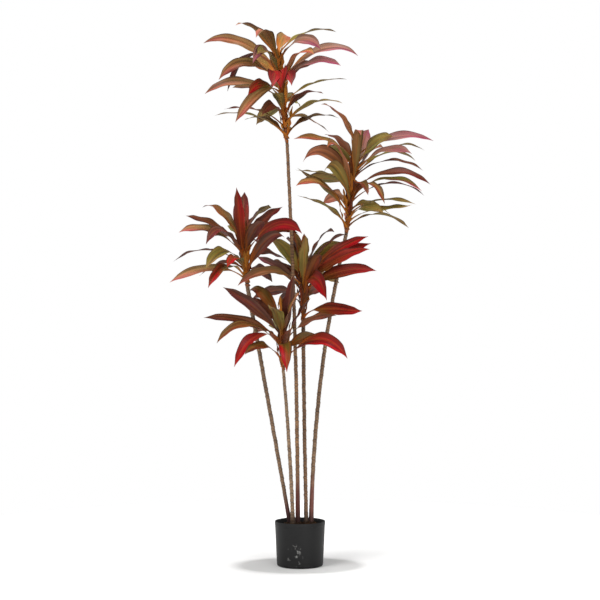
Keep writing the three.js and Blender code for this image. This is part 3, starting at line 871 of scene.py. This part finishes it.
def crown_leaves(stem, crown):
    """All leaves of a crown: traits, print, seed, reach and half width of each."""
    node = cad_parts[f"crown_{stem['crown']}"].data
    solid = BVHTree.FromPolygons([v.co for v in node.vertices], [p.vertices for p in node.polygons])
    seed, mix = crown["seed"], crown["mix"]
    tints = crown["tints"].split()
    tints += [mix[int(chance(seed + 5 * k) * len(mix))] for k in range(crown["back"])]
    grown = []
    for k, traits in enumerate(crown["leaves"] + back_leaves(crown["back"], seed)):
        tip = leaf_midline(stem, traits, LEAF_REACH)[1][-1]
        if solid.find_nearest(Vector(tip))[3] < TIP_CLEAR:
            half_width = BLADE_HALF_WIDTH * BROADER.get(tints[k], 1)
            grown.append((traits, tints[k], seed * 31 + 7 * k, LEAF_REACH, half_width))
    prints = SHEATH_PRINTS[stem["crown"]]
    for k, (traits, reach) in enumerate(sheath_leaves(seed)):
        grown.append((traits, prints[k % len(prints)], seed * 37 + 11 * k, reach, SHEATH_HALF_WIDTH))
    return grown


def crown_mesh(name, stem, grown):
    """The leaves of a crown as one mesh, with a slot for each print, a map of the leaf and one to bake."""
    pattern = leaf_pattern()
    shared_margin = {0, LEAF_COLUMNS}
    columns = math.ceil(2 * len(grown) / BAKE_ROWS)
    verts, faces, slots, leaf_uv, bake_uv, shifts, margins = [], [], [], [], [], [], []
    for k, (traits, tint, seed, reach, half_width) in enumerate(grown):
        sides = leaf_sheet(stem, traits, seed, reach, half_width)
        near, far = sides[0][LEAF_STEPS // 2, [0, -1], 2]
        flipped = near > far
        side_slots = print_slots.index(tint), len(print_slots) + back_slots.index(BACK_OF[tint])
        index = {}
        for i in range(LEAF_STEPS + 1):
            for j in range(LEAF_COLUMNS + 1):
                for s in range(2):
                    if s and j in shared_margin:
                        index[i, j, s] = index[i, j, 0]
                        continue
                    index[i, j, s] = len(verts)
                    verts.append(sides[s][i, j])
                    margins.append(j in shared_margin)
        shifts += [2 * chance(seed + 4) - 1] * (len(verts) - len(shifts))
        for face in pattern:
            under = sum(corner[2] for corner in face) > len(face) // 2
            corners = []
            for corner in face:
                if index[corner] not in [index[other] for other in corners]:
                    corners.append(corner)
            faces.append([index[corner] for corner in corners])
            slots.append(side_slots[under])
            cell = 2 * k + under
            for i, j, _ in corners:
                place = np.array([j / LEAF_COLUMNS, i / LEAF_STEPS])
                leaf_uv.append([1 - place[0] if flipped else place[0], place[1]])
                inset = np.array(BAKE_MARGIN) + place * (1 - 2 * np.array(BAKE_MARGIN))
                bake_uv.append((inset + [cell % columns, cell // columns]) / [columns, BAKE_ROWS])
    mesh = bpy.data.meshes.new(name)
    mesh.from_pydata(verts, [], faces)
    mesh.polygons.foreach_set("material_index", slots)
    edge_ends = np.empty(2 * len(mesh.edges), dtype=np.int32)
    mesh.edges.foreach_get("vertices", edge_ends)
    crisp = np.array(margins)[edge_ends].reshape(-1, 2).all(axis=1)
    mesh.attributes.new("sharp_edge", "BOOLEAN", "EDGE").data.foreach_set("value", crisp)
    for layer, places in (("Leaf", leaf_uv), ("OFBake", bake_uv)):
        mesh.uv_layers.new(name=layer).data.foreach_set("uv", np.ravel(places))
    mesh.attributes.new("tint_shift", "FLOAT", "POINT").data.foreach_set("value", shifts)
    return mesh


for stem in STEMS.values():
    leaves = crown_leaves(stem, CROWNS[stem["crown"]])
    mesh = crown_mesh(f"leaves_{stem['crown']}", stem, leaves)
    piece = add_piece(f"leaves_{stem['crown']}", mesh, leaf_cloths)
    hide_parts(f"crown_{stem['crown']}")


# Floor and light
# A plain white studio floor that glows a little from below, less in an oval of shade round the pot. White
# walls all round give an even light from the sides, the ceiling is darker, and large soft lamps hang above
# the plant and to the left and right of its front.
FLOOR_RADIUS = 1.7
SHADE_OVAL = (1, 1.3, 1)
SHADE_EDGE = (0.19, 0.24)
FLOOR_GLOW = (0.03, 0.4)
LAMP_AIM = Vector((0, 0, 1.0))
# Place, size and power of each lamp
LAMPS = {
    "key": ((-5.0, -6.0, 5.5), 3.5, 400),
    "fill": ((3.0, -7.0, 2.5), 3.5, 200),
    "top": ((0.0, -0.2, 6.0), 1.6, 200),
}
floor_material, floor_tree, floor_shader = new_material("White studio floor")
floor_place = add(floor_tree, "ShaderNodeTexCoord").outputs["Object"]
floor_tone = add(floor_tree, "ShaderNodeTexNoise", {"Vector": floor_place, "Scale": 3.0, "Detail": 3})
floor_colour = add(floor_tree, "ShaderNodeValToRGB", {"Fac": floor_tone.outputs["Fac"]},
                   stops=[(0.0, "#e4e4e3"), (1.0, "#ebebea")])
floor_tree.links.new(floor_colour.outputs["Color"], floor_shader.inputs["Base Color"])
floor_shader.inputs["Roughness"].default_value = 0.9
floor_shader.inputs["Emission Color"].default_value = (1, 1, 1, 1)
oval = add(floor_tree, "ShaderNodeMapping", {"Vector": floor_place, "Scale": SHADE_OVAL}).outputs["Vector"]
from_pot = add(floor_tree, "ShaderNodeVectorMath", {0: oval}, operation="LENGTH").outputs["Value"]
glow = add(floor_tree, "ShaderNodeMapRange", {"Value": from_pot,
                                              "From Min": SHADE_EDGE[0], "From Max": SHADE_EDGE[1],
                                              "To Min": FLOOR_GLOW[0], "To Max": FLOOR_GLOW[1]})
floor_tree.links.new(glow.outputs["Result"], floor_shader.inputs["Emission Strength"])
floor_shape = bmesh.new()
bmesh.ops.create_circle(floor_shape, cap_ends=True, segments=96, radius=FLOOR_RADIUS)
floor_mesh = bpy.data.meshes.new("studio_floor")
floor_shape.to_mesh(floor_mesh)
floor_shape.free()
floor_mesh.materials.append(floor_material)
floor = bpy.data.objects.new("studio_floor", floor_mesh)
bpy.context.scene.collection.objects.link(floor)

world = bpy.data.worlds.new("White studio")
world.use_nodes = True
direction = add(world.node_tree, "ShaderNodeTexCoord").outputs["Generated"]
upward = add(world.node_tree, "ShaderNodeSeparateXYZ", {"Vector": direction}).outputs["Z"]
walls = add(world.node_tree, "ShaderNodeValToRGB", {"Fac": upward},
            stops=[(0.25, "#ffffff"), (0.5, "#909090")])
world.node_tree.links.new(walls.outputs["Color"], world.node_tree.nodes["Background"].inputs["Color"])
bpy.context.scene.world = world
bpy.context.scene.view_settings.view_transform = "Standard"

for lamp_name, (place, size, power) in LAMPS.items():
    lamp = bpy.data.lights.new(lamp_name, "AREA")
    lamp.size = size
    lamp.energy = power
    lamp_object = bpy.data.objects.new(lamp_name, lamp)
    lamp_object.location = place
    lamp_object.rotation_euler = (LAMP_AIM - Vector(place)).to_track_quat("-Z", "Y").to_euler()
    bpy.context.scene.collection.objects.link(lamp_object)


# Camera
# Level with the middle of the plant and straight in front of it, far enough off for little perspective.
CAMERA_DISTANCE = 5.24
CAMERA_HEIGHT = 0.876
IMAGE_PIXELS = 600
FOCAL_PIXELS = 1588
camera = bpy.data.cameras.new("front")
camera.lens = camera.sensor_width * FOCAL_PIXELS / IMAGE_PIXELS
camera_object = bpy.data.objects.new("front", camera)
camera_object.location = (0, -CAMERA_DISTANCE, CAMERA_HEIGHT)
camera_object.rotation_euler = (math.radians(90), 0, 0)
bpy.context.scene.collection.objects.link(camera_object)
bpy.context.scene.camera = camera_object
